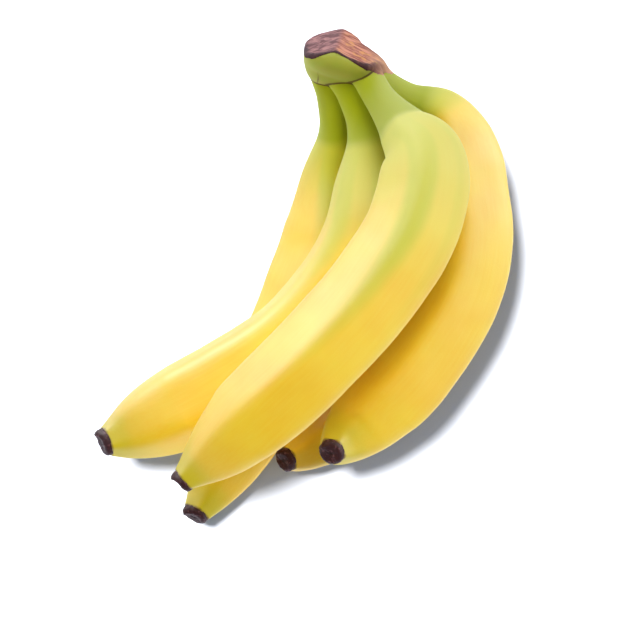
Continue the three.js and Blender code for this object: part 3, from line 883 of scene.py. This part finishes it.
def dried_cut_material():
    """Banana sap and flesh dried on the cut: dull, corky and fibrous, purple-brown where it is old
    and pink to orange where the fresher cut still shows its fibres."""
    material, add, shader = new_material("dried_cut_flesh", roughness=0.9, specular=0.15)
    place = add("ShaderNodeTexCoord")["Object"]
    slope, inset = read(add, "slope", "inset")
    pattern, side = cut_pattern(add, place, slope)
    blots = add(NOISE, {"Vector": place, "Scale": scale(CUT_BLOTS), "Detail": 3.0})["Fac"]
    light = add(MAP_RANGE, {0: pattern, 1: 0.4, 2: 0.62})[0]
    orange = add(MAP_RANGE, {0: blots, 1: 0.53, 2: 0.64, 3: 0.0, 4: 0.75})[0]
    far = add(MAP_RANGE, {0: slope, **span(CUT_PALES), 3: 0.0, 4: 0.75})[0]
    fresh = layer(
        add, FRESH_CUT_RED, (light, FRESH_CUT_PINK), (orange, FRESH_CUT_ORANGE), (far, FRESH_CUT_CREAM)
    )

    # It is darkest in a band along the edge over the necks, less so at its far end.
    rim = add(MATH, {0: blots, 1: RIM_WAVES * MM, 2: inset}, operation="MULTIPLY_ADD")[0]
    rim = add(MAP_RANGE, {0: rim, **span(RIM_FADE), 3: 0.95, 4: 0.0}, **EASED)[0]
    to_necks = add(VECTOR_MATH, {0: place, 1: RIM_SIDE}, operation="DOT_PRODUCT")[1]
    to_necks = add(MAP_RANGE, {0: to_necks, **span(RIM_DARKENS), 3: 0.25, 4: 1.0})[0]
    near = add(MAP_RANGE, {0: slope, **span(RIM_PALES), 3: 1.0, 4: 0.15})[0]
    for factor in (to_necks, near):
        rim = add(MATH, {0: rim, 1: factor}, operation="MULTIPLY")[0]
    colour = layer(add, OLD_CUT_DARK, (light, OLD_CUT_LIGHT), (side, fresh), (rim, DARK_RIM))
    finish(add, shader, {"Base Color": colour}, pattern, strength=0.4, depth=0.5)
    return material


def blossom_material():
    """The dried blossom end: almost black, brittle and wrinkled, with a dull sheen, pale grey patches
    on the folds that stand up, partly powdery and partly painted sheen, and a darker pit in its middle."""
    material, add, shader = new_material("dry_blossom_end", roughness=0.6, specular=0.25)
    place = add("ShaderNodeTexCoord")["Object"]
    spoke = read(add, "spoke")[0]
    raised_folds = add(NOISE, {"Vector": place, "Scale": scale(BLOSSOM_FOLDS), "Detail": 3.0})["Fac"]
    # The pale grey on the raised folds is partly dust and partly painted sheen.
    painted_sheen_and_dust = add(MAP_RANGE, {0: raised_folds, 1: 0.55, 2: 0.72, 3: 0.0, 4: 0.65})[0]
    pit = add(MAP_RANGE, {0: spoke, 1: 0.35, 2: 0.1, 3: 0.0, 4: 0.7})[0]
    colour = layer(add, BLOSSOM_BLACK, (painted_sheen_and_dust, BLOSSOM_SHEEN_AND_DUST_GREY), (pit, BLOSSOM_PIT))
    finish(add, shader, {"Base Color": colour}, raised_folds, strength=0.6, depth=0.4)
    return material


# ---------------------------------------------------------------- the bunch


def keep(piece, node):
    """Points a grown piece's faces outwards and lets it stand for its CAD node."""
    volume = sum(
        piece.data.vertices[f.vertices[0]].co.dot(f.normal) * f.area for f in piece.data.polygons
    )
    if volume < 0:
        piece.data.flip_normals()
    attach(piece, "root")
    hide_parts(node)


def blossom_place(line):
    """Where a blossom end stands on the end of a middle line, with its X towards the top."""
    heading = (line[-1] - line[-2]).normalized()
    top = (Vector((0, 0, 1)) - heading * heading.z).normalized()
    turn = Matrix((top, heading.cross(top), heading)).transposed().to_4x4()
    return Matrix.Translation(line[-1]) @ turn


def neck_radius(banana, distance):
    """Radius of a neck at a distance from the start of its line, in metres."""
    share = min(distance / (banana["neck_length"] * MM * FLARE_END), 1)
    flare = 1 + ROOT_FLARE * (1 - share * share * (3 - 2 * share))
    return banana["neck"] * MM / 2 * flare


def roots(lines):
    """The lines of the roots, each point with its thickness and the number of its neck."""
    points, edges, thickness, necks = [], [], [], []
    for number, (banana, line) in enumerate(zip(BANANAS, lines)):
        walked, first = 0.0, len(points)
        for before, point in zip([line[0], *line], line):
            walked += (point - before).length
            if walked > ROOT_END * MM:
                break
            points.append(point)
            thickness.append(neck_radius(banana, walked) - SUNK * MM)
            necks.append(number)
        edges += [(k, k + 1) for k in range(first, len(points) - 1)]
    mesh = bpy.data.meshes.new("roots")
    mesh.from_pydata(points, edges, [])
    mesh.attributes.new("thickness", "FLOAT", "POINT").data.foreach_set("value", thickness)
    mesh.attributes.new("neck", "INT", "POINT").data.foreach_set("value", necks)
    return mesh


lines = [middle_line(banana["path"]) for banana in BANANAS]
peel = peel_material()
sweep = peel_tree()
for number, (banana, line) in enumerate(zip(BANANAS, lines), 1):
    name = f"banana_{number}"
    piece = grow(name + "_peel", sweep, string_of_points(name, line), {
        "Girth": (banana["girth"] - FACET_DEPTH) * MM,
        "Neck": banana["neck"] * MM,
        "Tip": banana["tip"] * MM,
        "Neck Length": banana["neck_length"] * MM,
        "Shoulder": banana["shoulder"] * MM,
        "Taper": banana["taper"] * MM,
        "Roll": math.radians(banana["roll"]),
        "Twist": math.radians(banana["twist"]),
        "Start": NECK_START * MM,
        "Unevenness": UNEVENNESS * MM,
        "Green Neck": banana["green_neck"] * MM,
        "Unripe": banana["unripe"],
        "Green Tip": banana["green_tip"],
        "Rings": PEEL_RINGS,
        "Sides": PEEL_SIDES,
        "Seed": float(number),
        "Material": peel,
    })
    keep(piece, name)

dry = blossom_material()
wither = blossom_tree()
for number, (banana, line) in enumerate(zip(BANANAS, lines), 1):
    name = f"blossom_end_{number}"
    piece = grow(name + "_dry", wither, bpy.data.meshes.new(name), {
        "Radius": banana["tip"] / 2 * MM,
        "Length": BLOSSOM_LENGTH * MM,
        "Nub": BLOSSOM_NUB * MM,
        "Nub Side": math.radians(BLOSSOM_NUB_SIDE),
        "Root": BLOSSOM_ROOT * MM,
        "Hollow": BLOSSOM_HOLLOW * MM,
        "Wrinkles": BLOSSOM_WRINKLES * MM,
        "Segments": BLOSSOM_SEGMENTS,
        "Rings": BLOSSOM_RINGS,
        "Seed": float(number),
        "Material": dry,
    })
    piece.data.transform(blossom_place(line))
    keep(piece, name)

crown_boxes = [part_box("crown"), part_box("crown_cut")]
low = Vector([min(box[0][axis] for box in crown_boxes) - CELL_ROOM * MM for axis in range(3)])
high = Vector([max(box[1][axis] for box in crown_boxes) + CELL_ROOM * MM for axis in range(3)])
cells = [round(length / (CELL * MM)) for length in high - low]
swelling = crown_tree()
for name, node, slot, dried, material in (
    ("crown_flesh", "crown", "stem", False, crown_material()),
    ("crown_dried_cut", "crown_cut", "dried_cut", True, dried_cut_material()),
):
    piece = grow(name, swelling, roots(lines), {
        "Low Corner": low,
        "High Corner": high,
        "Cells X": cells[0],
        "Cells Y": cells[1],
        "Cells Z": cells[2],
        "Squareness": LOBE_SQUARENESS,
        "Melt": NECK_MELT * MM,
        "Skin": CUT_SKIN * MM,
        "Wrinkles": CUT_WRINKLES * MM,
        "Dried": dried,
        "Material": material,
    })
    keep(piece, node)

# ---------------------------------------------------------------- table, light and camera

FLOOR_SIZE = 6000
FLOOR_DROP = 0.1  # the flats of the peel lie on the ground, and this keeps the paper clear of them
half = FLOOR_SIZE / 2 * MM
table = bpy.data.meshes.new("table_top")
table.from_pydata(
    [(-half, -half, 0), (half, -half, 0), (half, half, 0), (-half, half, 0)], [], [(0, 1, 2, 3)]
)
floor = bpy.data.objects.new("table_top", table)
floor.location.z = -FLOOR_DROP * MM
bpy.context.scene.collection.objects.link(floor)
paper, _, paper_shader = new_material("white_paper_sweep", roughness=0.9, specular=0.1)
paper_shader.inputs["Base Color"].default_value = PAPER_WHITE
table.materials.append(paper)

BUNCH_MIDDLE = (0, 0, 50)


def softbox(name, direction, power, lights, distance=1.5, size=1.0, colour="#ffffff", shaded=()):
    """A round lamp, its distance and size in metres, that faces the middle of the bunch. Flags keep
    it to one thing: the floor, the colour of all the rest, or only their gloss, and keep the shaded
    pieces out of its light."""
    light = bpy.data.lights.new(name, "AREA")
    light.shape = "DISK"
    light.size = size
    light.energy = power
    light.color = paint(colour)[:3]
    lamp = bpy.data.objects.new(name, light)
    towards = Vector(direction).normalized()
    lamp.location = Vector(BUNCH_MIDDLE) * MM + towards * distance
    lamp.rotation_euler = towards.to_track_quat("Z", "Y").to_euler()
    lamp.visible_camera = False
    lamp.visible_diffuse = lights != "gloss"
    lamp.visible_glossy = lights != "colour"
    bpy.context.scene.collection.objects.link(lamp)
    lit = bpy.data.collections.new(name + "_lights")
    for kept_apart in (floor, *(bpy.data.objects[piece] for piece in shaded)):
        lit.objects.link(kept_apart)
    for entry in lit.collection_objects:
        entry.light_linking.link_state = "INCLUDE" if lights == "floor" else "EXCLUDE"
    lamp.light_linking.receiver_collection = lit


softbox("floor_lamp", (-0.165, 0.155, 1.0), 360, "floor", distance=3.0, size=0.45)
softbox("floor_fill", (0.0, 0.0, 1.0), 20, "floor", distance=1.4, size=1.6, colour="#cee2ff")
softbox("back_softbox", (0.25, 0.43, 0.87), 14.5, "colour")
softbox("left_softbox", (-0.5, 0.0, 0.87), 10.5, "colour")
softbox("front_card", (0.68, -0.68, 0.26), 7, "colour", shaded=["banana_5_peel"])
softbox("left_window", (-0.48, 0.84, 0.26), 66, "gloss", shaded=["banana_4_peel"])
softbox("back_window", (0.0, 0.82, 0.57), 20, "gloss", shaded=["banana_1_peel", "banana_2_peel"])
softbox("right_window", (0.84, 0.48, 0.26), 38, "gloss", shaded=["banana_2_peel", "banana_3_peel"])
softbox("right_card", (0.79, -0.21, 0.57), 5, "gloss", shaded=["banana_3_peel", "banana_5_peel"])

# A white studio all round, which the camera sees but which hardly lights the bunch.
STUDIO_GLOW = 0.05
STUDIO_WHITE = 1.05
world = bpy.data.worlds.new("white_studio")
world.use_nodes = True
background = world.node_tree.nodes["Background"]
background.inputs["Color"].default_value = paint("#ffffff")
ray = add_node(world.node_tree, "ShaderNodeLightPath")["Is Camera Ray"]
strength = add_node(world.node_tree, MIX, {0: ray, 2: STUDIO_GLOW, 3: STUDIO_WHITE})[0]
world.node_tree.links.new(strength, background.inputs["Strength"])
bpy.context.scene.world = world
bpy.context.scene.view_settings.view_transform = "Standard"

EYE = (7, -17.5, 900)  # the camera looks straight down from here
VIEW_WIDTH = 281.6  # width of the ground that the picture shows
SENSOR = 36
camera = bpy.data.cameras.new("camera")
camera.sensor_width = SENSOR
camera.lens = SENSOR * EYE[2] / VIEW_WIDTH
camera.clip_start = 0.01
eye = bpy.data.objects.new("camera", camera)
eye.location = Vector(EYE) * MM
bpy.context.scene.collection.objects.link(eye)
bpy.context.scene.camera = eye
